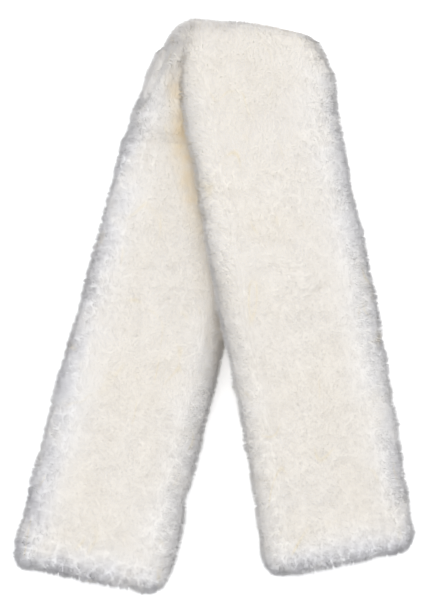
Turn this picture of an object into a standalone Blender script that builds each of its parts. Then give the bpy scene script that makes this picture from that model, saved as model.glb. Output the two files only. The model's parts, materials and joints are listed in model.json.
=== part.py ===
"""A sheepskin sleeve for a saddle girth: a long flat tube, wool all round, folded once across its middle.

Two wool-on sheepskin strips and their linings are sewn together along both long edges. The tube is bound
at both mouths, where a girth slides in and out. Every piece is modelled on the strip laid out flat and
is then folded by the pivots that it hangs from: two at the fold and one where the upper leg droops.

On the strip, u runs across, s along and v through the thickness. v is 0 halfway between the two skins,
plus on the inner skin, which the fold shuts in, and minus on the outer skin.
"""

import math

import bmesh
import bpy
from mathutils import Matrix, Vector

# Driving dimensions, in metres.
LOWER_LENGTH = 0.545  # from the fold line to the end of the wool, down the middle of the strip
UPPER_LENGTH = 0.524
DROOP_START = 0.250  # from the fold line to the bend in the upper leg
FOLD_DRIFT = 0.024  # how far the strip moves sideways on its way round the fold
HIDE_WIDTH = 0.118
HIDE = 0.0015  # thickness of the skin itself
LINING = 0.0006
CAVITY = 0.008  # height of the hollow that holds the girth
SEAM_ALLOWANCE = 0.006  # flat edge of each strip, sewn to the other strip
EDGE_SLOPE = 0.006  # width over which each strip rises from its seam
FACE_PILE = 0.0143  # length of the wool as it lies on the faces
SIDE_PILE = 0.0175  # wool past the long edges
END_PILE = 0.014  # wool past the binding at each mouth
END_ROUND = 0.022  # length over which the wool rounds off at a mouth
SEAM_THREAD = 0.0012
BINDING = 0.009  # length of the tube that each binding covers
STITCH_THREAD = 0.0008
GAP = 0.0003  # between pieces that touch

# Driving angles.
SLANT = math.radians(12)  # the strip's long edges to the square of the fold line
ROUND_TO = math.radians(70)  # where the rounding of the wool at a mouth stops
FOLD_TURN = math.radians(90)  # at each of the two hinges of the fold
ARC_STEPS = 6

# Heights above the middle of the tube of each layer's inner face: flat part, and seam allowance.
LINING_LEVEL = CAVITY / 2
LINING_SEAM_LEVEL = GAP / 2
HIDE_LEVEL = LINING_LEVEL + LINING + GAP
HIDE_SEAM_LEVEL = LINING_SEAM_LEVEL + LINING + GAP
WOOL_LEVEL = HIDE_LEVEL + HIDE + GAP
WOOL_SEAM_LEVEL = HIDE_SEAM_LEVEL + HIDE + GAP

HALF_THICKNESS = WOOL_LEVEL + FACE_PILE
HALF_WIDTH = HIDE_WIDTH / 2 + SIDE_PILE
SEAM_START = HIDE_WIDTH / 2 + GAP
SEAM_END = SEAM_START + SEAM_THREAD
EDGE_WOOL = SEAM_END + GAP
SLOPE_FOOT = HIDE_WIDTH / 2 - SEAM_ALLOWANCE
SLOPE_TOP = SLOPE_FOOT - EDGE_SLOPE

FOLD_SPAN = 2 * HALF_THICKNESS + GAP  # between the fold's two hinges
END_LENGTH = UPPER_LENGTH - DROOP_START
DROOP = math.asin(FOLD_SPAN / (END_LENGTH - END_ROUND / 2))  # lowers the upper mouth to the floor
INNER_SETBACK = WOOL_LEVEL + GAP  # room for the fold's inner skin beside each leg's
SEAM_SETBACK = WOOL_SEAM_LEVEL + GAP

INNER, OUTER = 1, -1
SIDE_NAMES = {INNER: "inner", OUTER: "outer"}

sleeve = bpy.data.collections.new("girth_sleeve")
materials = {}


def clear_scene():
    for obj in list(bpy.data.objects):
        bpy.data.objects.remove(obj, do_unlink=True)


def make_material(name, color, roughness):
    material = bpy.data.materials.new(name)
    material.use_nodes = True
    shader = material.node_tree.nodes["Principled BSDF"]
    shader.inputs["Base Color"].default_value = (*color, 1)
    shader.inputs["Roughness"].default_value = roughness
    shader.inputs["Metallic"].default_value = 0
    materials[name] = material


def make_materials():
    make_material("wool", (0.83, 0.79, 0.71), 0.95)
    make_material("hide", (0.72, 0.60, 0.45), 0.80)
    make_material("lining", (0.80, 0.77, 0.70), 0.85)
    make_material("binding", (0.82, 0.79, 0.72), 0.75)
    make_material("thread", (0.86, 0.83, 0.76), 0.70)


def make_pivot(name, parent, place, turn):
    """An empty on a joint's axis. Its pieces are built flat, and its turn folds them."""
    pivot = bpy.data.objects.new(name, None)
    pivot.empty_display_size = 0.03
    pivot.parent = parent
    pivot.matrix_local = Matrix.Translation(place) @ turn
    sleeve.objects.link(pivot)
    return pivot


def on_strip(u, s, v):
    """A point of the flat strip, in the frame of its pivot: the fold line runs along X."""
    return Vector((u * math.cos(SLANT) + s * math.sin(SLANT), s * math.cos(SLANT) - u * math.sin(SLANT), v))


def on_fold(u, y, v):
    """A point of the stretch round the fold, y past the fold line, which also skews sideways."""
    return Vector((u / math.cos(SLANT) + FOLD_DRIFT * y / FOLD_SPAN, y, v))


def square_cut(distance):
    """The end of a piece straight across the strip, at this distance along it."""
    return lambda u, v: distance


def fold_cut(distance):
    """The end of a piece along a line parallel to the fold, at this distance past it."""
    return lambda u, v: (distance + u * math.sin(SLANT)) / math.cos(SLANT)


def bend_cut(distance, direction):
    """An end at the bend, cut back where the inner side closes up as the upper leg droops."""
    return lambda u, v: distance + direction * (GAP / 2 + max(v, 0) * math.tan(DROOP / 2))


def add_object(name, data, pivot, material):
    obj = bpy.data.objects.new(name, data)
    obj.data.materials.append(materials[material])
    obj.parent = pivot
    sleeve.objects.link(obj)
    return obj


def loft(name, rings, pivot, material, place=on_strip):
    """A closed solid through rings of (u, s, v) points, one ring for each change of section."""
    mesh = bmesh.new()
    rows = [[mesh.verts.new(place(*point)) for point in ring] for ring in rings]
    for row, following in zip(rows, rows[1:]):
        for i in range(len(row)):
            j = (i + 1) % len(row)
            mesh.faces.new((row[i], row[j], following[j], following[i]))
    mesh.faces.new(reversed(rows[0]))
    mesh.faces.new(rows[-1])
    bmesh.ops.recalc_face_normals(mesh, faces=mesh.faces)
    data = bpy.data.meshes.new(name)
    mesh.to_mesh(data)
    mesh.free()
    data.shade_smooth()
    data.set_sharp_from_angle(angle=math.radians(35))
    return add_object(name, data, pivot, material)


def cut_ring(section, cut):
    return [(u, cut(u, v), v) for u, v in section]


def wall_section(half_width, seam_level, level, thickness):
    """Half of the flattened tube's wall: flat, sloping down at both sides to the seam allowances."""
    right = [(half_width, seam_level), (SLOPE_FOOT, seam_level), (SLOPE_TOP, level)]
    inside = right + [(-u, v) for u, v in reversed(right)]
    outside = [(u, v + thickness) for u, v in reversed(inside)]
    return inside + outside


def wool_section(fullness=1.0):
    """Half of the wool round the tube. A fullness under 1 thins it from the outside."""
    right = [
        (EDGE_WOOL, GAP / 2),
        (EDGE_WOOL, WOOL_SEAM_LEVEL),
        (SLOPE_FOOT, WOOL_SEAM_LEVEL),
        (SLOPE_TOP, WOOL_LEVEL),
    ]
    inside = right + [(-u, v) for u, v in reversed(right)]
    reach = EDGE_WOOL + (HALF_WIDTH - EDGE_WOOL) * fullness - SLOPE_TOP
    height = WOOL_LEVEL + FACE_PILE * fullness
    quarter = [i * math.pi / 2 / ARC_STEPS for i in range(ARC_STEPS + 1)]
    arc = [(SLOPE_TOP + reach * math.cos(a), max(GAP / 2, height * math.sin(a))) for a in quarter]
    return inside + [(-u, v) for u, v in arc] + arc[::-1]


def on_side(section, side):
    return [(u, side * v) for u, v in section]


def mouth_rings(side, length, direction):
    """The wool's rings where it rounds off at a mouth, from its full section to its thin lip."""
    rings = []
    for i in range(ARC_STEPS - 1):
        angle = ROUND_TO * i / (ARC_STEPS - 2)
        reach = length - END_ROUND * (1 - math.sin(angle) / math.sin(ROUND_TO))
        section = on_side(wool_section(math.cos(angle)), side)
        rings.append(cut_ring(section, square_cut(direction * reach)))
    return rings


def make_wool(prefix, pivot, side, near, far_rings, place=on_strip):
    near_ring = cut_ring(on_side(wool_section(), side), near)
    loft(f"{prefix}_{SIDE_NAMES[side]}_wool", [near_ring] + far_rings, pivot, "wool", place)


def make_wall(prefix, pivot, side, near, far, place=on_strip):
    """The hide and the lining of one side."""
    hide = wall_section(HIDE_WIDTH / 2, HIDE_SEAM_LEVEL, HIDE_LEVEL, HIDE)
    lining = wall_section(HIDE_WIDTH / 2, LINING_SEAM_LEVEL, LINING_LEVEL, LINING)
    for layer, section in (("hide", hide), ("lining", lining)):
        section = on_side(section, side)
        rings = [cut_ring(section, near), cut_ring(section, far)]
        loft(f"{prefix}_{SIDE_NAMES[side]}_{layer}", rings, pivot, layer, place)


def make_seams(prefix, pivot, near, far, place=on_strip):
    """The overcast thread that closes both long edges."""
    reach = WOOL_SEAM_LEVEL - GAP
    right = [(SEAM_START, -reach), (SEAM_END, -reach), (SEAM_END, reach), (SEAM_START, reach)]
    for name, section in (("right", right), ("left", [(-u, v) for u, v in right])):
        rings = [cut_ring(section, near), cut_ring(section, far)]
        loft(f"{prefix}_{name}_seam", rings, pivot, "thread", place)


def across_strip(distance):
    """Places a flat outline, drawn in X and Y, across the strip at this distance along it."""
    origin = on_strip(0, distance, 0)
    across, along = on_strip(1, 0, 0), on_strip(0, 1, 0)
    upward = Vector((0, 0, 1))
    turn = Matrix((across, upward, along)).transposed().to_4x4()
    return Matrix.Translation(origin) @ turn


def add_outline(curve, points):
    spline = curve.splines.new("POLY")
    spline.points.add(len(points) - 1)
    for point, (u, v) in zip(spline.points, points):
        point.co = (u, v, 0, 1)
    spline.use_cyclic_u = True


def both_halves(right_upper):
    """A closed outline from its points in the right upper quarter, from the side to the top."""
    left_upper = [(-u, v) for u, v in reversed(right_upper)]
    upper = right_upper + left_upper
    return upper + [(-u, -v) for u, v in upper]


def make_binding(prefix, pivot, length, direction):
    """Tape folded over the raw ends of the skins and linings, as one ring with the mouth inside."""
    curve = bpy.data.curves.new(f"{prefix}_binding", "CURVE")
    curve.dimensions = "2D"
    curve.fill_mode = "BOTH"
    curve.extrude = BINDING / 2
    outer_seam, outer_face = WOOL_SEAM_LEVEL - GAP, WOOL_LEVEL - GAP
    outer = [(HIDE_WIDTH / 2, outer_seam), (SLOPE_FOOT, outer_seam), (SLOPE_TOP, outer_face)]
    inner = [(SLOPE_FOOT, LINING_SEAM_LEVEL), (SLOPE_TOP, LINING_LEVEL)]
    add_outline(curve, both_halves(outer))
    add_outline(curve, both_halves(inner))
    ring = add_object(f"{prefix}_mouth_binding", curve, pivot, "binding")
    ring.matrix_local = across_strip(direction * (length - END_PILE - BINDING / 2))


def make_stitching(prefix, pivot, length, direction):
    """The row of thread that runs round the tube along the binding's edge."""
    curve = bpy.data.curves.new(f"{prefix}_stitching", "CURVE")
    curve.dimensions = "3D"
    curve.bevel_depth = STITCH_THREAD / 2
    curve.bevel_resolution = 1
    seam = (WOOL_SEAM_LEVEL - GAP) / 2
    face = (LINING_LEVEL + WOOL_LEVEL - GAP) / 2
    edge = HIDE_WIDTH / 2 - STITCH_THREAD
    add_outline(curve, both_halves([(edge, seam), (SLOPE_FOOT, seam), (SLOPE_TOP, face)]))
    thread = add_object(f"{prefix}_mouth_stitching", curve, pivot, "thread")
    back = END_PILE + BINDING + GAP + STITCH_THREAD / 2
    thread.matrix_local = across_strip(direction * (length - back))


def wall_length(length):
    """How far the hides and linings reach: they stop short of the row of stitches."""
    return length - END_PILE - BINDING - 2 * GAP - STITCH_THREAD


def make_run(prefix, pivot, direction, near, length=None, bend=None):
    """All layers of one stretch of the tube, from its near cuts to a mouth at length or to the bend."""
    far = bend or square_cut(direction * wall_length(length))
    for side in (OUTER, INNER):
        if bend:
            far_rings = [cut_ring(on_side(wool_section(), side), bend)]
        else:
            far_rings = mouth_rings(side, length, direction)
        make_wool(prefix, pivot, side, near[side], far_rings)
        make_wall(prefix, pivot, side, near[side], far)
    make_seams(prefix, pivot, near["seam"], far)
    if length:
        make_binding(prefix, pivot, length, direction)
        make_stitching(prefix, pivot, length, direction)


def make_fold(prefix, pivot):
    """The stretch round the fold. Its inner wool is crushed flat between the legs and has no solid."""
    near, far = square_cut(GAP), square_cut(FOLD_SPAN - GAP)
    far_rings = [cut_ring(on_side(wool_section(), OUTER), far)]
    make_wool(prefix, pivot, OUTER, near, far_rings, on_fold)
    for side in (OUTER, INNER):
        make_wall(prefix, pivot, side, near, far, on_fold)
    make_seams(prefix, pivot, near, far, on_fold)


def leg_cuts(direction):
    """Where each layer of a leg starts: the inner ones leave room for the fold's inner skin."""
    setbacks = {OUTER: GAP, INNER: INNER_SETBACK, "seam": SEAM_SETBACK}
    return {layer: fold_cut(direction * setback) for layer, setback in setbacks.items()}


def bend_cuts():
    cut = bend_cut(0, 1)
    return {OUTER: cut, INNER: cut, "seam": cut}


def stand_on_origin(root):
    """Moves the sleeve so that the middle of its underside is at the origin."""
    bpy.context.view_layer.update()
    meshes = [obj for obj in sleeve.objects if obj.type == "MESH"]
    points = [obj.matrix_world @ vertex.co for obj in meshes for vertex in obj.data.vertices]
    low = [min(point[i] for point in points) for i in range(3)]
    high = [max(point[i] for point in points) for i in range(3)]
    root.location -= Vector(((low[0] + high[0]) / 2, (low[1] + high[1]) / 2, low[2]))


def main():
    clear_scene()
    bpy.context.scene.collection.children.link(sleeve)
    make_materials()

    quarter = Matrix.Rotation(FOLD_TURN, 4, "X")
    root = make_pivot("lower_leg_pivot", None, Vector((0, 0, HALF_THICKNESS)), Matrix())
    fold = make_pivot("lower_fold_hinge", root, Vector(), quarter)
    upper = make_pivot("upper_fold_hinge", fold, on_fold(0, FOLD_SPAN, 0), quarter)
    droop = Matrix.Rotation(DROOP, 4, on_strip(1, 0, 0))
    end = make_pivot("droop_bend", upper, on_strip(0, DROOP_START, 0), droop)

    make_run("lower", root, -1, leg_cuts(-1), length=LOWER_LENGTH)
    make_fold("fold", fold)
    make_run("upper", upper, 1, leg_cuts(1), bend=bend_cut(DROOP_START, -1))
    make_run("end", end, 1, bend_cuts(), length=END_LENGTH)
    stand_on_origin(root)


main()
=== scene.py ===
"""The looks of the sheepskin girth sleeve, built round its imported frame.

The wool is two layers on each skin: a soft lumpy fleece, and fine fibres that grow out of it. Under it
are the hides, the linings, the overcast seams and the bound mouths. All of them are laid out on the
strip and then placed on the folded legs.

On the strip, ring runs across a skin over its section, along runs away from the fold, and pile is the
depth in the wool: 0 at the hide and 1 at the tips.
"""

import json
import math

import bpy
import numpy as np
from mathutils import Matrix, Vector


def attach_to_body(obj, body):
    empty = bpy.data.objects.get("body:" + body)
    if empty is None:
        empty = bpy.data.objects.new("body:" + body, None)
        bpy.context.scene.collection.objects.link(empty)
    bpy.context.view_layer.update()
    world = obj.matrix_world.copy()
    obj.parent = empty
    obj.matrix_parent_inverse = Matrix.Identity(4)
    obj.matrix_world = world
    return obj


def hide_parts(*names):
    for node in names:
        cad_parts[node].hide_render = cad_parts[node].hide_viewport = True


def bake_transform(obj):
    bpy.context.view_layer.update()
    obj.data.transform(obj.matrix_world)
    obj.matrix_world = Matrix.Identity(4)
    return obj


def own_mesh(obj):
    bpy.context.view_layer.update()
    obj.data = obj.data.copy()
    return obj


# Sizes of the strip, in metres, as the CAD model has them.
LOWER_LENGTH = 0.545
UPPER_LENGTH = 0.524
FOLD_DRIFT = 0.024
HIDE_WIDTH = 0.118
HIDE = 0.0015
LINING = 0.0006
CAVITY = 0.008
SEAM_ALLOWANCE = 0.006
EDGE_SLOPE = 0.006
FACE_PILE = 0.0143
SIDE_PILE = 0.0175
END_PILE = 0.014
END_ROUND = 0.022
SEAM_THREAD = 0.0012
BINDING = 0.009
STITCH_THREAD = 0.0008
GAP = 0.0003
SLANT = math.radians(12)
LENGTHS = {"lower": LOWER_LENGTH, "upper": UPPER_LENGTH}

LINING_LEVEL = CAVITY / 2
LINING_SEAM_LEVEL = GAP / 2
HIDE_LEVEL = LINING_LEVEL + LINING + GAP
HIDE_SEAM_LEVEL = LINING_SEAM_LEVEL + LINING + GAP
WOOL_LEVEL = HIDE_LEVEL + HIDE + GAP
WOOL_SEAM_LEVEL = HIDE_SEAM_LEVEL + HIDE + GAP
HALF_THICKNESS = WOOL_LEVEL + FACE_PILE
HALF_WIDTH = HIDE_WIDTH / 2 + SIDE_PILE
SEAM_START = HIDE_WIDTH / 2 + GAP
EDGE_WOOL = SEAM_START + SEAM_THREAD + GAP
SLOPE_FOOT = HIDE_WIDTH / 2 - SEAM_ALLOWANCE
SLOPE_TOP = SLOPE_FOOT - EDGE_SLOPE
INNER_SETBACK = WOOL_LEVEL + GAP
SEAM_SETBACK = WOOL_SEAM_LEVEL + GAP

# The wool's layout on the strip.
QUARTER = math.pi / 2
EDGE_RADIUS = 0.0255  # mean radius of the wool's rounding at the long edges
RING_END = SLOPE_TOP + EDGE_RADIUS * QUARTER
RING = 4 * RING_END  # once round both skins
MOUTH_RADIUS = 0.019  # mean radius of the wool's rounding at the mouths
MOUTH_CORE = 0.006  # how far the rounding reaches at the hide's level
FLEECE_PILE = 0.74  # where the fleece stops and only fibres go on
FLEECE_STEP = 0.0024
FIBRE_SPACING = 0.00115
FIBRE_WIDTH = 0.00045
FIBRE_ROOT = 0.06  # how deep in the fleece a fibre starts, as a share of the pile
FIBRE_TWIST = 1.1  # the most that a fibre turns from lying flat, in radians
WISP_SHARE = 0.05  # how many fibres stand out past the rest
MOST_FIBRES = 60000  # in one piece, about
TUFT_SIZE = 0.0095
EDGE_SAG = 0.32  # share of its height that the wool loses at the long edges
MORE_SAG = 0.16  # what it loses besides where an edge lies over the other leg
MOST_CRUSHED = 0.50  # share of its thickness that the wool loses at the fold's right corner
DENT_BEND = 6  # how much a dent curves over its length
FLOOR_CLEARANCE = 0.0004
BEND_BLEND = 0.05  # half the stretch over which the upper leg bends down
MOUTH_SLANT = {"lower": -0.055, "upper": -0.02}  # how far each mouth is off square, as a slope

# What is inside the wool.
LAYER_STEP = 0.004
THREAD_PITCH = 0.0042  # from one turn of the overcast, or pucker of the tape, to the next
THREAD_REACH = 0.0019  # how far the overcast goes above and below the seam
THREAD_SIDES = 6
TAPE_SIDES = 16

INNER, OUTER = 1, -1
SIDE_NAMES = {INNER: "inner", OUTER: "outer"}

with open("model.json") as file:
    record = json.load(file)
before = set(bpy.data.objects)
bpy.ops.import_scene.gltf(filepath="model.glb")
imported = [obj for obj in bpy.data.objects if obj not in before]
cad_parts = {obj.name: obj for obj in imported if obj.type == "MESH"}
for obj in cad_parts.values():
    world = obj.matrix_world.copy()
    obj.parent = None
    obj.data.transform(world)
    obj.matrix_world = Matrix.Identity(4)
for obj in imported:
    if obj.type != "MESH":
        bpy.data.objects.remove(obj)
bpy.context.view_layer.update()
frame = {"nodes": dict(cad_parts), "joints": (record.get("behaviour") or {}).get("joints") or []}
joints = {joint["name"]: joint for joint in frame["joints"]}
FIRST_HINGE = np.array(joints["lower_fold_hinge"]["pos_m"])
SECOND_HINGE = np.array(joints["upper_fold_hinge"]["pos_m"])
BEND = np.array(joints["droop_bend"]["pos_m"])
DROOP = math.radians(joints["droop_bend"]["range_deg"][1])
FOLD_SPAN = SECOND_HINGE[2] - FIRST_HINGE[2]
TURN = HALF_THICKNESS * QUARTER  # path round each hinge, at the tips of the wool
FOLD_PATH = 2 * TURN + FOLD_SPAN
SLANT_COS, SLANT_SIN, SLANT_SLOPE = math.cos(SLANT), math.sin(SLANT), math.tan(SLANT)
STRIP_DOWN = np.array((SLANT_SIN, -SLANT_COS, 0))  # along the upper leg, away from the fold


# Noise ------------------------------------------------------------------------------------------------


def smooth(x):
    x = np.clip(x, 0, 1)
    return x * x * (3 - 2 * x)


def lumps(full_ring, path, size, seed):
    """Smooth noise from -1 to 1 on the strip. It closes on itself round the ring."""
    columns = max(4, round(RING / size))
    rows = 512  # further than the sleeve goes, at every size in use
    table = np.random.default_rng(seed).uniform(-1, 1, (columns, rows))
    x, y = full_ring / RING * columns, path / size + rows / 2
    i, j = np.floor(x).astype(int), np.floor(y).astype(int)
    fx, fy = smooth(x - i), smooth(y - j)
    near = table[i % columns, j % rows] * (1 - fy) + table[i % columns, (j + 1) % rows] * fy
    far = table[(i + 1) % columns, j % rows] * (1 - fy) + table[(i + 1) % columns, (j + 1) % rows] * fy
    return near * (1 - fx) + far * fx


def nearest_tuft(full_ring, path, size, seed):
    """Offset from each point to the middle of its tuft, across and along."""
    columns = max(4, round(RING / size))
    rows = 1024
    shift = np.random.default_rng(seed).uniform(0.1, 0.9, (columns, rows, 2))
    width = RING / columns
    x, y = full_ring / width, path / size + rows / 2
    i, j = np.floor(x).astype(int), np.floor(y).astype(int)
    best = np.full(len(x), np.inf)
    across, away = np.zeros(len(x)), np.zeros(len(x))
    for di in (-1, 0, 1):
        for dj in (-1, 0, 1):
            place = shift[(i + di) % columns, (j + dj) % rows]
            dx = (i + di + place[:, 0] - x) * width
            dy = (j + dj + place[:, 1] - y) * size
            distance = dx * dx + dy * dy
            closer = distance < best
            best = np.where(closer, distance, best)
            across, away = np.where(closer, dx, across), np.where(closer, dy, away)
    return across, away


# Places on the strip ----------------------------------------------------------------------------------


def wool_profile(ring, pile):
    """The section of the wool over one skin, as u across and v outwards."""
    angle = QUARTER - np.clip(np.abs(ring) - SLOPE_TOP, 0, None) / EDGE_RADIUS
    skin_u, skin_v = SLOPE_TOP + (EDGE_WOOL - SLOPE_TOP) * np.cos(angle), WOOL_LEVEL * np.sin(angle)
    tip_u, tip_v = SLOPE_TOP + (HALF_WIDTH - SLOPE_TOP) * np.cos(angle), HALF_THICKNESS * np.sin(angle)
    flat = np.abs(ring) < SLOPE_TOP
    u = np.where(flat, ring, np.sign(ring) * (skin_u + pile * (tip_u - skin_u)))
    v = np.where(flat, WOOL_LEVEL + pile * FACE_PILE, skin_v + pile * (tip_v - skin_v))
    return u, v


def wool_place(ring, along, pile, length, lean):
    """Strip coordinates of a point in the wool, which rounds off at the mouth and starts at the fold."""
    start = length - END_ROUND
    past = np.clip(along - start, 0, None) / MOUTH_RADIUS
    u, v = wool_profile(ring, pile * np.cos(past))
    reach = MOUTH_CORE + (END_ROUND - MOUTH_CORE) * pile
    t = np.minimum(along, start) + reach * np.sin(past)
    t = t + lean * SLANT_SLOPE * u * np.clip(1 - along / start, 0, 1)
    return u, t, v


def on_lower(u, t, v):
    x = FIRST_HINGE[0] + u * SLANT_COS - t * SLANT_SIN
    y = FIRST_HINGE[1] - t * SLANT_COS - u * SLANT_SIN
    return np.stack((x, y, FIRST_HINGE[2] + v), axis=-1)


def on_upper(u, t, v):
    x = SECOND_HINGE[0] + u * SLANT_COS + t * SLANT_SIN
    y = SECOND_HINGE[1] - t * SLANT_COS + u * SLANT_SIN
    return drooped(np.stack((x, y, SECOND_HINGE[2] - v), axis=-1))


def drooped(points):
    """Bends the straight upper leg down, smoothly, about the bend's axis."""
    turn = np.array(Matrix.Rotation(DROOP, 3, Vector((SLANT_COS, SLANT_SIN, 0))))
    share = smooth(((points - BEND) @ STRIP_DOWN + BEND_BLEND) / (2 * BEND_BLEND))[..., None]
    return points * (1 - share) + ((points - BEND) @ turn.T + BEND) * share


def round_fold(u, path, h):
    """A point h out from the fold's hinges, path along the way round from the lower leg to the upper."""
    turned = np.clip(path / HALF_THICKNESS, 0, QUARTER)
    turned = turned + np.clip((path - TURN - FOLD_SPAN) / HALF_THICKNESS, 0, QUARTER)
    rise = np.clip(path - TURN, 0, FOLD_SPAN)
    x = FIRST_HINGE[0] + u / SLANT_COS + FOLD_DRIFT * smooth(path / FOLD_PATH)
    y = FIRST_HINGE[1] + h * np.sin(turned)
    z = FIRST_HINGE[2] + rise - h * np.cos(turned)
    return np.stack((x, y, z), axis=-1)


def across_fold(u, rise, v):
    """A point of the fold's straight middle stretch, at that rise above the first hinge."""
    x = FIRST_HINGE[0] + u / SLANT_COS + FOLD_DRIFT * rise / FOLD_SPAN
    return np.stack((x, FIRST_HINGE[1] - v, FIRST_HINGE[2] + rise), axis=-1)


# Where the wool's outline wanders: edge (-1 left, 1 right), middle along the path, reach, and how far out.
# The path runs from the lower mouth, which is negative, round the fold to the upper mouth.
WANDER = (
    (-1, 0.030, 0.115, -0.0110),
    (-1, -0.130, 0.080, 0.0015),
    (-1, -0.360, 0.200, 0.0020),
    (1, -0.500, 0.060, 0.0030),
    (1, -0.450, 0.015, -0.0020),
    (1, FOLD_PATH - 0.020, 0.045, -0.0090),
    (1, FOLD_PATH + 0.045, 0.040, 0.0040),
    (1, FOLD_PATH + 0.270, 0.230, 0.0025),
    (-1, FOLD_PATH + 0.400, 0.160, -0.0035),
)
# Shallow dents in the faces: part, middle across, middle along, half length, half width, turn, depth.
DENTS = (
    ("upper", -0.004, 0.236, 0.030, 0.007, 0.35, 0.20),
    ("upper", 0.022, 0.258, 0.022, 0.006, -0.55, 0.16),
    ("upper", -0.030, 0.205, 0.026, 0.008, 0.9, 0.10),
    ("lower", 0.012, 0.262, 0.030, 0.008, -0.8, 0.14),
    ("lower", -0.028, 0.300, 0.024, 0.008, 0.5, 0.10),
    ("lower", -0.044, 0.120, 0.022, 0.005, 1.3, 0.16),
    ("lower", -0.010, 0.455, 0.026, 0.009, 0.2, 0.10),
)


class Skin:
    """One skin of one stretch of the sleeve: how its wool coordinates go to the scene."""

    left, right = -RING_END, RING_END

    def __init__(self, part, side, near, far):
        self.part, self.side, self.near, self.far = part, side, near, far
        self.length = LENGTHS.get(part)
        self.name = f"{part}_{SIDE_NAMES[side]}"

    def noise_place(self, ring, along):
        """Where the point is for noise that runs on through both skins and all stretches."""
        full = ring if self.side == OUTER else 2 * RING_END - ring
        path = {"lower": -along, "upper": FOLD_PATH + along, "fold": along}[self.part]
        return full, path

    def sagged(self, ring, along, v):
        """The wool's height v, where its own weight draws a leg's edges down to what it lies on."""
        down = -1 if self.part == "lower" else 1
        covering = 1 if self.part == "upper" else 0
        over_leg = covering * smooth((0.02 - ring) / 0.02) * smooth((0.34 - along) / 0.05)
        share = smooth((np.abs(ring) - SLOPE_TOP) / (RING_END - SLOPE_TOP)) * smooth(along / 0.06)
        loss = share * (EDGE_SAG + MORE_SAG * over_leg)
        height = HALF_THICKNESS - down * self.side * v
        return down * self.side * (HALF_THICKNESS - height * (1 - loss))

    def crushed(self, ring, along):
        """How much of its thickness the wool keeps where it is flattened, at one corner of the fold."""
        path = self.noise_place(ring, along)[1]
        near_fold = smooth((path + 0.04) / 0.06) * smooth((FOLD_PATH + 0.05 - path) / 0.07)
        return 1 - MOST_CRUSHED * smooth((ring + 0.005) / 0.070) * near_fold

    def wandered(self, ring, path, u):
        """The wool's place across, where its outline swings in or out."""
        for edge, middle, reach, amount in WANDER:
            share = smooth((edge * ring - 0.030) / (RING_END - 0.030))
            u = u + edge * amount * share * smooth(1 - np.abs(path - middle) / reach)
        return u

    def place(self, ring, along, pile):
        if self.part == "fold":
            u, v = wool_profile(ring, pile)
            u = self.wandered(ring, along, u)
            if self.side == OUTER:
                return round_fold(u, along, v * self.crushed(ring, along))
            return across_fold(u, along - TURN, v)
        lean = -1 if self.part == "lower" else 1
        u, t, v = wool_place(ring, along, pile, self.length, lean)
        u = self.wandered(ring, self.noise_place(ring, along)[1], u)
        t = t + MOUTH_SLANT[self.part] * u * smooth(along / self.length)
        v = self.sagged(ring, along, v)
        if self.side == OUTER:
            v = v * self.crushed(ring, along)
        straight = on_lower(u, t, self.side * v) if lean < 0 else on_upper(u, t, self.side * v)
        if self.side == INNER:
            return straight
        path = -along if lean < 0 else FOLD_PATH + along
        return np.where((along < 0)[..., None], round_fold(u, path, v), straight)

    def edge(self, ring, along):
        """1 at the long edges and the mouth, and 0 over the middle of the face."""
        sideways = smooth((np.abs(ring) - 0.030) / (RING_END - 0.034))
        if self.part == "fold":
            return sideways
        return np.maximum(sideways, smooth((along - self.length + 0.045) / 0.05))

    def chart(self, ring, along):
        """Where the point is on the skin's own texture chart."""
        across = (ring - self.left) / (self.right - self.left)
        return np.stack((across, (along - self.near) / (self.far - self.near)), axis=-1)

    def painted_rim_shade(self, ring, along):
        """How much shade is painted on the wool: most on the outside edges, and least where the legs face
        each other.
        """
        outside = -1 if self.part == "lower" else 1
        favour = 0.47 + 0.22 * np.sign(ring) * outside * smooth(np.abs(ring) / 0.02)
        favour = favour + (0.10 + 0.20 * smooth((along - 0.25) / 0.25)) * (self.part == "lower")
        wide = smooth((np.abs(ring) - 0.020) / (RING_END - 0.030)) * favour
        if self.part == "fold":
            return 0.4 * wide
        if self.part == "upper":
            wide = wide * (1 - 0.8 * smooth((0.01 - ring) / 0.02) * smooth((0.34 - along) / 0.10))
        mouth = smooth((along - self.length + 0.050) / 0.055)
        return np.maximum(wide, mouth) * smooth((along + 0.01) / 0.08)

    def dented(self, ring, along):
        """How much of the pile the dents of the visible face take away."""
        taken = np.zeros(len(ring))
        upward = INNER if self.part == "lower" else OUTER
        for part, across, away, length, width, turn, depth in DENTS:
            if part == self.part and self.side == upward:
                x, y = ring - across, along - away
                run = x * math.cos(turn) + y * math.sin(turn)
                bow = y * math.cos(turn) - x * math.sin(turn) + DENT_BEND * run * run
                taken = taken + depth * smooth(1 - np.abs(run) / length) * smooth(1 - np.abs(bow) / width)
        return taken

    def gather(self, ring, along):
        """How far the fibres are drawn together into tufts: most at the mouth and the outside edge."""
        mouth = smooth((along - self.length + 0.040) / 0.04) if self.part != "fold" else 0
        return 0.03 + 0.10 * self.edge(ring, along) + 0.20 * np.maximum(mouth, self.painted_rim_shade(ring, along))

    def fleece_pile(self, ring, along):
        """How far up the pile the fleece's surface is."""
        full, path = self.noise_place(ring, along)
        wave = 0.045 * lumps(full, path, 0.055, 1) + 0.05 * lumps(full, path, 0.022, 2)
        tufts = 0.04 * lumps(full, path, 0.011, 3) + 0.02 * lumps(full, path, 0.0045, 4)
        level = FLEECE_PILE - self.dented(ring, along)
        return level + wave + tufts * (0.3 + 1.2 * self.edge(ring, along))

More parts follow.
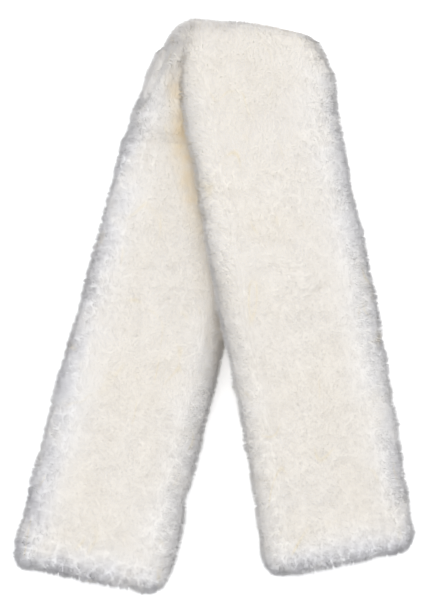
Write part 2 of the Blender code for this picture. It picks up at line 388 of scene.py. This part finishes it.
    def tip_pile(self, ring, along):
        """How far up the pile the longest fibres reach."""
        full, path = self.noise_place(ring, along)
        edge = self.edge(ring, along)
        wave = 0.035 * lumps(full, path, 0.055, 1) + 0.05 * lumps(full, path, 0.022, 2)
        level = 1.0 + 0.07 * edge - self.dented(ring, along)
        return level + wave + (0.02 + 0.08 * edge) * lumps(full, path, 0.011, 3)


class Corner(Skin):
    """The soft ramp of wool at the fold's left corner, from the lower leg's face up to the upper leg's."""

    left, right = -RING_END - 0.9 * EDGE_RADIUS, 0.0
    lift, front, back = 0.041, 0.105, 0.013

    def __init__(self):
        super().__init__("lower", INNER, -self.back, self.front)
        self.name = "fold_corner"

    def place(self, ring, along, pile):
        rise = smooth((self.front - along) / self.front)
        u, v = wool_profile(ring, pile)
        t = np.where(along < 0, along * np.clip(v / HALF_THICKNESS, 0.1, 1), along)
        t = t - SLANT_SLOPE * u * np.clip(1 - along / LOWER_LENGTH, 0, 1)
        u = self.wandered(ring, 0.05 * rise**2 - along, u)  # by its top it is on the fold's path
        v = self.sagged(ring, along, v) - 0.0012 * smooth((along - self.front + 0.050) / 0.050)
        points = on_lower(u, t, v)
        points[..., 0] += 0.55 * FOLD_DRIFT * rise
        points[..., 2] += self.lift * rise * (0.45 + 0.55 * v / HALF_THICKNESS)
        return points

    def painted_rim_shade(self, ring, along):
        # The painted rim shade, lighter towards the fold.
        return super().painted_rim_shade(ring, along) * (0.4 + 0.6 * smooth(along / self.front))


# Meshes -----------------------------------------------------------------------------------------------


def add_mesh(name, points, faces, material, uv=None):
    mesh = bpy.data.meshes.new(name)
    mesh.from_pydata(points.tolist(), [], faces.tolist())
    if uv is not None:
        layer = mesh.uv_layers.new(name="OFBake")
        layer.data.foreach_set("uv", uv[faces.ravel()].astype(np.float32).ravel())
    mesh.materials.append(material)
    mesh.shade_smooth()
    obj = bpy.data.objects.new(name, mesh)
    bpy.context.scene.collection.objects.link(obj)
    return obj


def add_values(obj, name, values):
    attribute = obj.data.attributes.new(name, "FLOAT_VECTOR", "POINT")
    attribute.data.foreach_set("vector", values.astype(np.float32).ravel())


def grid_faces(rows, columns):
    corner = (np.arange(rows - 1)[:, None] * columns + np.arange(columns - 1)).ravel()
    return np.stack((corner, corner + 1, corner + columns + 1, corner + columns), axis=-1)


def off_the_floor(points):
    points[..., 2] = np.maximum(points[..., 2], FLOOR_CLEARANCE)
    return points


def painted_crease_shade(skin, ring, along):
    """1 where warm shade is painted: where the legs cross, and round the fold."""
    full, path = skin.noise_place(ring, along)
    if skin.part == "upper" and skin.side == INNER:
        return 0.6 * smooth((-ring - 0.035) / 0.02) * smooth((0.26 - along) / 0.12)
    if skin.side == OUTER:
        line = smooth(1 - np.abs(path - TURN - FOLD_SPAN - 0.010) / 0.005)
        line = 0.6 * line * smooth(ring / 0.02) * smooth((RING_END - 0.01 - ring) / 0.03)
        under = smooth((0.010 - RING_END - ring) / 0.010) if skin.part == "upper" else 0
        return line + 0.7 * under * smooth((0.24 - along) / 0.10)
    if skin.part != "lower":
        return np.zeros(len(ring))
    away = skin.place(ring, along, np.full(len(ring), 1.0)) - SECOND_HINGE
    u = away[:, 0] * SLANT_COS + away[:, 1] * SLANT_SIN
    t = away[:, 0] * SLANT_SIN - away[:, 1] * SLANT_COS
    uneven = 0.004 * lumps(full, path, 0.025, 21) + 0.002 * lumps(full, path, 0.008, 22)
    beside = smooth((u + HALF_WIDTH + 0.020 + uneven) / 0.020)
    beside = beside * smooth((0.030 - HALF_WIDTH - u) / 0.025)
    return beside * smooth((t - 0.010) / 0.030) * (0.18 + 0.82 * smooth((0.20 - t) / 0.10))


def wool_values(skin, ring, along, depth):
    """What the wool's materials read: painted rim shade, height in the wool, and painted crease shade."""
    shade_in_creases = painted_crease_shade(skin, ring, along)
    return np.stack((skin.painted_rim_shade(ring, along), depth, shade_in_creases), axis=-1)


def make_fleece(skin):
    columns = round((skin.right - skin.left) / FLEECE_STEP)
    rows = round((skin.far - skin.near) / FLEECE_STEP)
    stations = np.linspace(skin.near, skin.far, rows), np.linspace(skin.left, skin.right, columns)
    along, ring = (axis.ravel() for axis in np.meshgrid(*stations, indexing="ij"))
    pile = skin.fleece_pile(ring, along)
    points = off_the_floor(skin.place(ring, along, pile))
    uv = skin.chart(ring, along)
    faces = grid_faces(rows, columns)
    outward = skin.place(ring[:1], along[:1], pile[:1] + 0.1) - points[:1]
    a, b, c = points[faces[0, 0]], points[faces[0, 1]], points[faces[0, 2]]
    if np.dot(np.cross(b - a, c - b), outward[0]) < 0:
        faces = faces[:, ::-1]
    obj = add_mesh(f"{skin.name}_fleece", points, faces, FLEECE, uv)
    add_values(obj, "wool", wool_values(skin, ring, along, np.zeros(len(ring))))
    return obj


def unit(vectors):
    return vectors / np.maximum(np.linalg.norm(vectors, axis=-1, keepdims=True), 1e-12)


def fibre_runs(skin):
    """The skin's stretch, split so that no piece has too many fibres."""
    wanted = (skin.far - skin.near) * (skin.right - skin.left) / FIBRE_SPACING**2
    ends = np.linspace(skin.near, skin.far, math.ceil(wanted / MOST_FIBRES) + 1)
    return list(zip(ends, ends[1:]))


def make_fibres(skin, name, near, far, seed):
    """Fine tapered fibres, rooted in the fleece on a jittered grid and drawn together into tufts."""
    rng = np.random.default_rng(seed)
    columns = round((skin.right - skin.left) / FIBRE_SPACING)
    rows = round((far - near) / FIBRE_SPACING)
    along, ring = np.meshgrid(np.arange(rows) + 0.5, np.arange(columns) + 0.5, indexing="ij")
    count = rows * columns
    along = near + (along.ravel() + rng.uniform(-0.5, 0.5, count)) / rows * (far - near)
    ring = skin.left + (ring.ravel() + rng.uniform(-0.5, 0.5, count)) / columns * (skin.right - skin.left)
    full, path = skin.noise_place(ring, along)
    gather = np.clip(skin.gather(ring, along) + 0.10 * lumps(full, path, 0.03, 11), 0, 1)
    tuft_across, tuft_away = nearest_tuft(full, path, TUFT_SIZE, 12)
    mirror = 1 if skin.side == OUTER else -1
    forward = -1 if skin.part == "lower" else 1
    lean_ring = 0.0009 * lumps(full, path, 0.035, 13) + 0.0014 * lumps(full, path, 0.012, 14)
    lean_along = 0.0010 * lumps(full, path, 0.035, 15) + 0.0014 * lumps(full, path, 0.012, 16) - 0.0006
    lean_ring = lean_ring + rng.normal(0, 0.0009, count) + mirror * gather * tuft_across
    lean_along = lean_along + rng.normal(0, 0.0009, count) + forward * gather * tuft_away
    root = skin.fleece_pile(ring, along) - FIBRE_ROOT
    tip = skin.tip_pile(ring, along) + rng.uniform(-0.14, 0.03, count)
    wisp = rng.random(count) < WISP_SHARE
    tip = tip + np.where(wisp, rng.uniform(0, 0.10, count), 0)

    def station(q):
        drift = q**1.4
        return skin.place(ring + lean_ring * drift, along + lean_along * drift, root + (tip - root) * q)

    base, middle, end = station(0.0), station(0.55), station(1.0)
    normal = unit(skin.place(ring, along, root + 0.2) - base)
    twist = rng.uniform(-FIBRE_TWIST, FIBRE_TWIST, count)[:, None]
    width = FIBRE_WIDTH * rng.uniform(0.75, 1.25, count)[:, None] / 2
    points = []
    for here, ahead, share in ((base, middle, 1.0), (middle, end, 0.8)):
        direction = unit(ahead - here)
        sideways = unit(np.cross(direction, normal) + 1e-9)
        turned = sideways * np.cos(twist) + np.cross(direction, sideways) * np.sin(twist)
        points += [here - turned * width * share, here + turned * width * share]
    points = off_the_floor(np.stack(points + [end], axis=1))
    first = np.arange(count)[:, None] * 5
    faces = (first[:, :, None] + np.array(((0, 1, 3), (0, 3, 2), (2, 3, 4)))).reshape(-1, 3)
    # A fibre's front faces out of the skin, and upwards where it can, so few show their backs.
    facing = np.cross(points[:, 1] - points[:, 0], points[:, 2] - points[:, 0])
    backwards = np.einsum("ij,ij->i", facing, normal + (0, 0, 0.75)) < 0
    faces = np.where(np.repeat(backwards, 3)[:, None], faces[:, ::-1], faces)
    own = unit(facing * np.where(backwards, -1, 1)[:, None])
    soft = unit(0.85 * normal + 0.15 * own)
    across = (ring - skin.left) / (skin.right - skin.left)
    corner = 0.002 + 0.996 * np.stack((across, (along - near) / (far - near)), axis=-1)
    offsets = np.array(((-1, -1), (1, -1), (-0.8, 0), (0.8, 0), (0, 1))) * 0.0009
    uv = (corner[:, None] + offsets).reshape(-1, 2)
    obj = add_mesh(name, points.reshape(-1, 3), faces, FIBRES, uv)
    depth = np.tile((0.15, 0.15, 0.6, 0.6, 1.0), count)
    values = wool_values(skin, np.repeat(ring, 5), np.repeat(along, 5), depth)
    add_values(obj, "wool", values)
    obj.data.normals_split_custom_set_from_vertices(np.repeat(soft, 5, axis=0))
    return obj


# Materials --------------------------------------------------------------------------------------------


class Nodes:
    """A small helper that builds one material's node tree."""

    def __init__(self, name, roughness, sheen=0.0):
        self.material = bpy.data.materials.new(name)
        self.material.use_nodes = True
        self.tree = self.material.node_tree
        self.shader = self.tree.nodes["Principled BSDF"]
        self.shader.inputs["Roughness"].default_value = roughness
        self.shader.inputs["Specular IOR Level"].default_value = 0.2
        self.shader.inputs["Sheen Weight"].default_value = sheen
        self.shader.inputs["Sheen Roughness"].default_value = 0.6

    def add(self, kind, **inputs):
        node = self.tree.nodes.new(kind)
        for name, value in inputs.items():
            socket = node.inputs[name.replace("_", " ")]
            if isinstance(value, bpy.types.NodeSocket):
                self.tree.links.new(value, socket)
            else:
                socket.default_value = value
        return node

    def attribute(self, name):
        node = self.tree.nodes.new("ShaderNodeAttribute")
        node.attribute_name = name
        return node.outputs["Vector"]

    def mix(self, factor, a, b, blend="MIX"):
        node = self.tree.nodes.new("ShaderNodeMix")
        node.data_type = "RGBA"
        node.blend_type = blend
        for index, value in ((0, factor), (6, a), (7, b)):
            if isinstance(value, bpy.types.NodeSocket):
                self.tree.links.new(value, node.inputs[index])
            elif index:
                node.inputs[index].default_value = (*value, 1)
            else:
                node.inputs[index].default_value = value
        return node.outputs[2]

    def ramp(self, value, low, high):
        node = self.add("ShaderNodeMapRange", Value=value, From_Min=low, From_Max=high)
        return node.outputs["Result"]

    def times(self, a, b):
        node = self.tree.nodes.new("ShaderNodeMath")
        node.operation = "MULTIPLY"
        for socket, value in zip(node.inputs, (a, b)):
            if isinstance(value, bpy.types.NodeSocket):
                self.tree.links.new(value, socket)
            else:
                socket.default_value = value
        return node.outputs[0]

    def noise(self, place, scale, detail):
        node = self.add("ShaderNodeTexNoise", Vector=place, Scale=scale, Detail=detail)
        return node.outputs["Fac"]

    def colour(self, socket):
        self.tree.links.new(socket, self.shader.inputs["Base Color"])

    def bump(self, height, strength, distance):
        node = self.add("ShaderNodeBump", Height=height, Strength=strength, Distance=distance)
        self.tree.links.new(node.outputs["Normal"], self.shader.inputs["Normal"])


RIM_SHADE_TINT = (0.91, 0.905, 0.905)  # painted shade: the cool pale tint of the wool near the edges, where it starts to turn from the light
RIM_SHADE_GREY = (0.62, 0.61, 0.635)  # painted shade at the wool's rims
TAN_CREASE_SHADE = (0.90, 0.78, 0.58)  # painted warm shade in the creases, where the legs cross and round the fold
STRAW = (0.86, 0.77, 0.56)  # thin strands
CREAM = (1.0, 0.985, 0.95)  # wide faint patches


def wool_material(name, root, tip):
    nodes = Nodes(name, 0.9, 0.15)
    place = nodes.add("ShaderNodeTexCoord").outputs["Object"]
    parts = nodes.add("ShaderNodeSeparateXYZ", Vector=nodes.attribute("wool"))
    # X is the painted rim shade, Y the height in the wool, Z the painted crease shade.
    edge, depth = parts.outputs["X"], parts.outputs["Y"]
    colour = nodes.mix(nodes.ramp(depth, 0.0, 0.9), root, tip)
    streak = nodes.ramp(nodes.noise(place, 120.0, 4.0), 0.40, 0.62)
    cloud = nodes.ramp(nodes.noise(place, 28.0, 2.0), 0.35, 0.65)
    # Painted shade: a cool pale tint near the edges, then grey at the rims, in clouds and streaks.
    rim_tint_mask = nodes.times(nodes.ramp(edge, 0.0, 0.8), nodes.ramp(cloud, -0.6, 0.5))
    colour = nodes.mix(rim_tint_mask, colour, RIM_SHADE_TINT)
    rim_shade_mask = nodes.times(nodes.ramp(edge, 0.35, 1.0), nodes.mix(0.35, cloud, streak))
    colour = nodes.mix(rim_shade_mask, colour, RIM_SHADE_GREY)
    # Painted warm shade in the creases, broken up by noise.
    crease_shade_mask = nodes.times(parts.outputs["Z"], nodes.ramp(nodes.noise(place, 70.0, 3.0), 0.15, 0.65))
    colour = nodes.mix(crease_shade_mask, colour, TAN_CREASE_SHADE)
    stretched = nodes.add("ShaderNodeVectorMath", Vector=place)
    stretched.operation = "MULTIPLY"
    stretched.inputs[1].default_value = (1.0, 0.45, 1.0)
    field = nodes.noise(stretched.outputs["Vector"], 22.0, 1.0)
    line = nodes.times(nodes.ramp(field, 0.485, 0.5), nodes.ramp(field, 0.515, 0.5))
    line = nodes.times(line, nodes.ramp(nodes.noise(place, 31.0, 1.0), 0.52, 0.70))
    colour = nodes.mix(nodes.times(line, 0.55), colour, STRAW)
    patch = nodes.ramp(nodes.noise(place, 17.0, 2.0), 0.38, 0.62)
    colour = nodes.mix(nodes.times(patch, 0.35), colour, CREAM, "MULTIPLY")
    nodes.colour(colour)
    return nodes.material


FLEECE = wool_material("fleece", (0.855, 0.815, 0.75), (0.88, 0.85, 0.81))
FIBRES = wool_material("fibres", (0.88, 0.85, 0.81), (0.91, 0.89, 0.875))


# Wool -------------------------------------------------------------------------------------------------

HALF_TURN = TURN / 2  # each leg's wool goes half way round its hinge, and the fold's the rest
MOUTH_PAST = MOUTH_RADIUS * math.radians(100)
LOWER_END = LOWER_LENGTH - END_ROUND + MOUTH_PAST
UPPER_END = UPPER_LENGTH - END_ROUND + MOUTH_PAST

SKINS = [
    Skin("lower", OUTER, -HALF_TURN, LOWER_END),
    Skin("lower", INNER, GAP, LOWER_END),
    Skin("fold", OUTER, HALF_TURN, FOLD_PATH - HALF_TURN),
    Skin("fold", INNER, TURN, TURN + FOLD_SPAN),
    Skin("upper", OUTER, -HALF_TURN, UPPER_END),
    Skin("upper", INNER, GAP, UPPER_END),
    Corner(),
]


def attach(obj, part):
    """Parents a lower-leg or fold piece to its body, so it moves with it; an upper-leg piece only gets its
    transform baked into its mesh.
    """
    if part == "upper":
        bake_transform(obj)
    else:
        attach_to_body(obj, {"lower": "lower_leg", "fold": "fold"}[part])


def stood_for(part, layer):
    """The CAD nodes that one visible layer stands for."""
    prefixes = {"lower": ("lower",), "fold": ("fold",), "upper": ("upper", "end")}[part]
    names = [f"{prefix}_{layer}" for prefix in prefixes]
    return [name for name in names if name in frame["nodes"]]


for number, skin in enumerate(SKINS):
    fleece = make_fleece(skin)
    pieces = [fleece]
    for run, (near, far) in enumerate(fibre_runs(skin)):
        name = f"{skin.name}_fibres_{run + 1}"
        pieces.append(make_fibres(skin, name, near, far, 100 * number + run))
    if skin.name != "fold_corner":
        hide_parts(*stood_for(skin.part, f"{SIDE_NAMES[skin.side]}_wool"))
    for piece in pieces:
        attach(piece, skin.part)
        if skin.name == "fold_corner":
            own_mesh(piece)


# Skins, linings, seams and mouths ---------------------------------------------------------------------

WALL_END = {
    part: length - END_PILE - BINDING - 2 * GAP - STITCH_THREAD for part, length in LENGTHS.items()
}


def on_part(part, u, t, v):
    """Places strip points on a leg or, with t as the rise, on the fold."""
    return {"lower": on_lower, "upper": on_upper, "fold": across_fold}[part](u, t, v)


def cut_back(part, u, setback):
    """Where a layer of a leg starts, along a line parallel to the fold."""
    return setback / SLANT_COS + (-u if part == "lower" else u) * SLANT_SLOPE


def stretch(part, u, share, setback):
    """Distances along a part, from its start at share 0 to its end at share 1."""
    if part == "fold":
        return GAP + share * (FOLD_SPAN - 2 * GAP) + 0 * u
    start = cut_back(part, u, setback)
    return start + share * (WALL_END[part] - start)


def wall_height(u, seam_level, level):
    """A layer's height over the tube's middle plane: its own level, down to the seam's at the edges."""
    return seam_level + (level - seam_level) * smooth((SLOPE_FOOT - np.abs(u)) / EDGE_SLOPE)


def make_layer(part, side, layer, material, seam_level, level, thickness, pucker):
    """A hide or a lining: a thin closed sheet that follows the flattened tube."""
    columns, rows = 61, max(12, round(LENGTHS.get(part, FOLD_SPAN) / LAYER_STEP))
    share, u = np.meshgrid(np.linspace(0, 1, rows), np.linspace(-1, 1, columns), indexing="ij")
    share, u = share.ravel(), u.ravel() * HIDE_WIDTH / 2
    setback = GAP if side == OUTER else INNER_SETBACK
    t = stretch(part, u, share, setback)
    middle = smooth((SLOPE_TOP - np.abs(u)) / 0.02)
    wrinkle = 0.5 + 0.5 * lumps(u + RING_END, t + 1, 0.013, 31 + side)
    low = wall_height(u, seam_level, level) - pucker * middle * wrinkle
    count = rows * columns
    below, above = on_part(part, u, t, side * low), on_part(part, u, t, side * (low + thickness))
    faces = grid_faces(rows, columns)
    rim = np.concatenate(
        (
            np.arange(columns),
            columns * np.arange(1, rows) + columns - 1,
            count - 2 - np.arange(columns - 1),
            columns * np.arange(rows - 2, 0, -1),
        )
    )
    following = np.roll(rim, -1)
    wall = np.stack((rim, following, following + count, rim + count), axis=-1)
    chart = 0.04 + 0.92 * np.stack(((u / HIDE_WIDTH + 0.5) * 0.47, share), axis=-1)
    uv = np.concatenate((chart, chart + (0.5, 0)))
    points = np.concatenate((below, above))
    everything = np.concatenate((faces[:, ::-1], faces + count, wall))
    obj = add_mesh(f"{part}_{SIDE_NAMES[side]}_{layer}", points, everything, material, uv)
    weave = np.stack((u, t, low), axis=-1)
    add_values(obj, "strip", np.concatenate((weave, weave)))
    return obj


def tube(centres, side_axis, radius):
    """Points and faces of a round thread along centres. side_axis is square to its path."""
    ahead = unit(np.gradient(centres, axis=0))
    sideways = unit(side_axis - (side_axis * ahead).sum(axis=1, keepdims=True) * ahead)
    upright = np.cross(ahead, sideways)
    turn = np.arange(THREAD_SIDES) / THREAD_SIDES * 2 * math.pi
    reach = np.broadcast_to(radius, len(centres))[:, None, None]
    ring = np.cos(turn)[:, None] * sideways[:, None] + np.sin(turn)[:, None] * upright[:, None]
    points = centres[:, None] + reach * ring
    index = np.arange(len(centres) * THREAD_SIDES).reshape(-1, THREAD_SIDES)
    following = np.roll(index, -1, axis=1)
    faces = np.stack((index[:-1], following[:-1], following[1:], index[1:]), axis=-1).reshape(-1, 4)
    return points.reshape(-1, 3), faces


def make_overcast(part, name, edge):
    """Thread that winds up and down over the two skins' edges, which it holds together."""
    u = edge * (SEAM_START + SEAM_THREAD / 2)
    if part == "fold":
        near, far = GAP, FOLD_SPAN - GAP
    else:
        near, far = float(cut_back(part, u, SEAM_SETBACK)), WALL_END[part]
    turns = round((far - near) / THREAD_PITCH)
    phase = np.linspace(0, turns, turns * 10 + 1) * 2 * math.pi
    t = near + SEAM_THREAD / 2 + (far - near - SEAM_THREAD) * np.linspace(0, 1, len(phase))
    v = THREAD_REACH * np.sin(phase + 0.5 * np.sin(phase))
    centres = on_part(part, np.full(len(t), u), t, v)
    axis = on_part(part, np.full(len(t), u + 0.01), t, v) - centres
    points, faces = tube(centres, axis, SEAM_THREAD / 2 - 0.0001)
    obj = add_mesh(f"{part}_{name}_overcast", points, faces, THREAD)
    values = np.stack((v, t, np.zeros(len(t))), axis=-1)
    add_values(obj, "strip", np.repeat(values, THREAD_SIDES, axis=0))
    return obj


def outline(corners, count):
    """Points evenly round the closed outline that these right upper corners start."""
    upper = corners + [(-u, v) for u, v in reversed(corners)]
    loop = np.array(upper + [(-u, -v) for u, v in upper] + upper[:1])
    step = np.linalg.norm(np.diff(loop, axis=0), axis=1)
    travelled = np.concatenate(((0,), np.cumsum(step)))
    wanted = np.linspace(0, travelled[-1], count, endpoint=False)
    points = np.stack([np.interp(wanted, travelled, loop[:, i]) for i in (0, 1)], axis=-1)
    return points, wanted


def make_tape(part):
    """Tape folded over the raw ends at a mouth, with a soft rounded fold."""
    seam, face = WOOL_SEAM_LEVEL - GAP, WOOL_LEVEL - GAP
    outer = [(HIDE_WIDTH / 2, seam), (SLOPE_FOOT, seam), (SLOPE_TOP, face)]
    rim, travelled = outline(outer, 300)
    u, v = rim[:, 0], rim[:, 1]
    height = wall_height(u, LINING_SEAM_LEVEL, LINING_LEVEL)
    inner = np.stack((np.clip(u, -SLOPE_FOOT, SLOPE_FOOT), np.clip(v, -height, height)), axis=-1)
    turn = np.arange(TAPE_SIDES) / TAPE_SIDES * 2 * math.pi
    radial = 0.5 + 0.5 * np.sign(np.cos(turn)) * np.abs(np.cos(turn)) ** 0.6
    depth = np.sign(np.sin(turn)) * np.abs(np.sin(turn)) ** 0.6 * BINDING / 2
    pucker = 1 - 0.06 * (1 + np.sin(travelled / THREAD_PITCH * 2 * math.pi))[:, None]
    section = inner[:, None] + (rim - inner)[:, None] * (0.02 + 0.96 * radial * pucker)[..., None]
    t = np.broadcast_to(LENGTHS[part] - END_PILE - BINDING / 2 + depth, section.shape[:2])
    points = on_part(part, section[..., 0], t, section[..., 1])
    index = np.arange(points.shape[0] * TAPE_SIDES).reshape(-1, TAPE_SIDES)
    onwards, over = np.roll(index, -1, axis=0), np.roll(index, -1, axis=1)
    faces = np.stack((index, over, np.roll(onwards, -1, axis=1), onwards), axis=-1).reshape(-1, 4)
    obj = add_mesh(f"{part}_mouth_tape", points.reshape(-1, 3), faces, TAPE)
    values = np.stack((np.repeat(travelled, TAPE_SIDES), t.ravel(), np.zeros(t.size)), axis=-1)
    add_values(obj, "strip", values)
    return obj


def make_stitches(part):
    """One running stitch after another round the tube, beside the tape."""
    seam, face = (WOOL_SEAM_LEVEL - GAP) / 2, (LINING_LEVEL + WOOL_LEVEL - GAP) / 2
    corners = [(HIDE_WIDTH / 2 - STITCH_THREAD, seam), (SLOPE_FOOT, seam), (SLOPE_TOP, face)]
    path, travelled = outline(corners, 2400)
    pitch, covered = 24, 19  # points of the outline from stitch to stitch, and under each stitch
    t = LENGTHS[part] - END_PILE - BINDING - GAP - STITCH_THREAD / 2
    everything, faces, values, start = [], [], [], 0
    for first in range(0, len(path), pitch):
        chosen = (first + np.arange(0, covered, 2)) % len(path)
        along = np.linspace(0, 1, len(chosen))
        here = path[chosen]
        centres = on_part(part, here[:, 0], np.full(len(here), t), here[:, 1])
        axis = on_part(part, here[:, 0], np.full(len(here), t + 0.01), here[:, 1]) - centres
        radius = (STITCH_THREAD / 2 - 0.00002) * np.sqrt(np.clip(1 - (2 * along - 1) ** 4, 0.02, 1))
        points, own = tube(centres, axis, radius)
        everything.append(points)
        faces.append(own + start)
        own_values = np.stack((along, travelled[chosen], 0 * along), axis=-1)
        values.append(np.repeat(own_values, THREAD_SIDES, axis=0))
        start += len(points)
    name = f"{part}_mouth_stitches"
    obj = add_mesh(name, np.concatenate(everything), np.concatenate(faces), THREAD)
    add_values(obj, "strip", np.concatenate(values))
    return obj


def wave(nodes, vector, pitch, direction):
    """Bands at a pitch in metres."""
    scale = math.pi / 10 / pitch
    node = nodes.add("ShaderNodeTexWave", Vector=vector, Scale=scale, Distortion=0.4)
    node.bands_direction = direction
    return node.outputs["Fac"]


def hide_material():
    nodes = Nodes("suede", 0.78)
    vector = nodes.attribute("strip")
    blotch = nodes.noise(vector, 35.0, 4.0)
    colour = nodes.mix(nodes.ramp(blotch, 0.3, 0.7), (0.62, 0.49, 0.34), (0.78, 0.67, 0.52))
    grain = nodes.add("ShaderNodeTexVoronoi", Vector=vector, Scale=900.0).outputs["Distance"]
    colour = nodes.mix(nodes.times(grain, 0.5), colour, (0.55, 0.42, 0.28))
    nodes.colour(colour)
    nodes.bump(grain, 0.35, 0.0004)
    return nodes.material


def cloth_material(name, light, dark, pitch, roughness):
    """A plain weave: two sets of threads, one across the other."""
    nodes = Nodes(name, roughness, 0.1)
    vector = nodes.attribute("strip")
    across, along = wave(nodes, vector, pitch, "X"), wave(nodes, vector, pitch, "Y")
    height = nodes.mix(0.5, across, along)
    colour = nodes.mix(nodes.ramp(height, 0.2, 0.8), dark, light)
    wear = nodes.ramp(nodes.noise(vector, 40.0, 3.0), 0.35, 0.75)
    colour = nodes.mix(nodes.times(wear, 0.25), colour, dark)
    nodes.colour(colour)
    nodes.bump(height, 0.5, 0.0003)
    return nodes.material


def thread_material():
    nodes = Nodes("waxed_thread", 0.6, 0.1)
    vector = nodes.attribute("strip")
    ply = wave(nodes, vector, 0.0009, "DIAGONAL")
    nodes.colour(nodes.mix(ply, (0.74, 0.70, 0.61), (0.87, 0.84, 0.77)))
    nodes.bump(ply, 0.6, 0.0002)
    return nodes.material


SUEDE = hide_material()
CLOTH = cloth_material("cotton_lining", (0.80, 0.77, 0.70), (0.66, 0.63, 0.56), 0.0009, 0.85)
TAPE = cloth_material("cotton_tape", (0.82, 0.79, 0.72), (0.68, 0.65, 0.58), 0.0007, 0.75)
THREAD = thread_material()


def finish_piece(obj, part, slot, *nodes, body=None):
    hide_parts(*nodes)
    if body:
        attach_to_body(obj, body)
    else:
        attach(obj, part)


for part in ("lower", "fold", "upper"):
    for side in (OUTER, INNER):
        name = SIDE_NAMES[side]
        hide = make_layer(part, side, "leather", SUEDE, HIDE_SEAM_LEVEL, HIDE_LEVEL, HIDE, 0)
        finish_piece(hide, part, "hide", *stood_for(part, f"{name}_hide"))
        lining = make_layer(part, side, "cloth", CLOTH, LINING_SEAM_LEVEL, LINING_LEVEL, LINING, 0.0008)
        finish_piece(lining, part, "lining", *stood_for(part, f"{name}_lining"))
    for name, edge in (("left", -1), ("right", 1)):
        overcast = make_overcast(part, name, edge)
        finish_piece(overcast, part, "thread", *stood_for(part, f"{name}_seam"))

for part, body, prefix in (("lower", "lower_leg", "lower"), ("upper", "upper_end", "end")):
    finish_piece(make_tape(part), part, "binding", f"{prefix}_mouth_binding", body=body)
    finish_piece(make_stitches(part), part, "thread", f"{prefix}_mouth_stitching", body=body)


# Stage ------------------------------------------------------------------------------------------------


def make_floor():
    mesh = bpy.data.meshes.new("floor")
    reach = 3
    corners = [(-reach, -reach, 0), (reach, -reach, 0), (reach, reach, 0), (-reach, reach, 0)]
    mesh.from_pydata(corners, [], [(0, 1, 2, 3)])
    nodes = Nodes("floor", 0.9)
    nodes.shader.inputs["Base Color"].default_value = (0.85, 0.85, 0.85, 1)
    nodes.shader.inputs["Emission Color"].default_value = (1, 1, 1, 1)
    nodes.shader.inputs["Emission Strength"].default_value = 0.40
    mesh.materials.append(nodes.material)
    floor = bpy.data.objects.new("floor", mesh)
    bpy.context.scene.collection.objects.link(floor)


def add_light(name, place, target, size, power):
    light = bpy.data.lights.new(name, "AREA")
    light.shape = "DISK"
    light.size = size
    light.energy = power
    obj = bpy.data.objects.new(name, light)
    obj.location = place
    obj.rotation_euler = (Vector(target) - Vector(place)).to_track_quat("-Z", "Y").to_euler()
    bpy.context.scene.collection.objects.link(obj)


def make_lights():
    world = bpy.data.worlds.new("studio")
    world.use_nodes = True
    background = world.node_tree.nodes["Background"]
    background.inputs["Color"].default_value = (0.97, 0.98, 1.0, 1)
    background.inputs["Strength"].default_value = 1.04
    bpy.context.scene.world = world
    add_light("softbox", (-0.25, 0.35, 2.2), (0, 0, 0), 1.6, 10.5)


def make_camera():
    camera = bpy.data.cameras.new("camera")
    camera.lens, camera.sensor_width = 85, 36
    camera.clip_start, camera.clip_end = 0.05, 20
    elevation, roll = math.radians(80), math.radians(2)
    field = 0.591  # height of the view at the sleeve
    distance = field * camera.lens / camera.sensor_width
    target = Vector((-0.0033, 0.0067, 0.03))
    away = Vector((0, -math.cos(elevation), math.sin(elevation)))
    obj = bpy.data.objects.new("camera", camera)
    obj.location = target + away * distance
    facing = (-away).to_track_quat("-Z", "Y").to_matrix()
    obj.rotation_euler = (Matrix.Rotation(roll, 3, away) @ facing).to_euler()
    bpy.context.scene.collection.objects.link(obj)
    bpy.context.scene.camera = obj


make_floor()
make_lights()
make_camera()
bpy.context.scene.view_settings.view_transform = "Standard"
bpy.context.scene.cycles.max_bounces = 16
bpy.context.scene.cycles.diffuse_bounces = 12  # wool this white scatters light many times
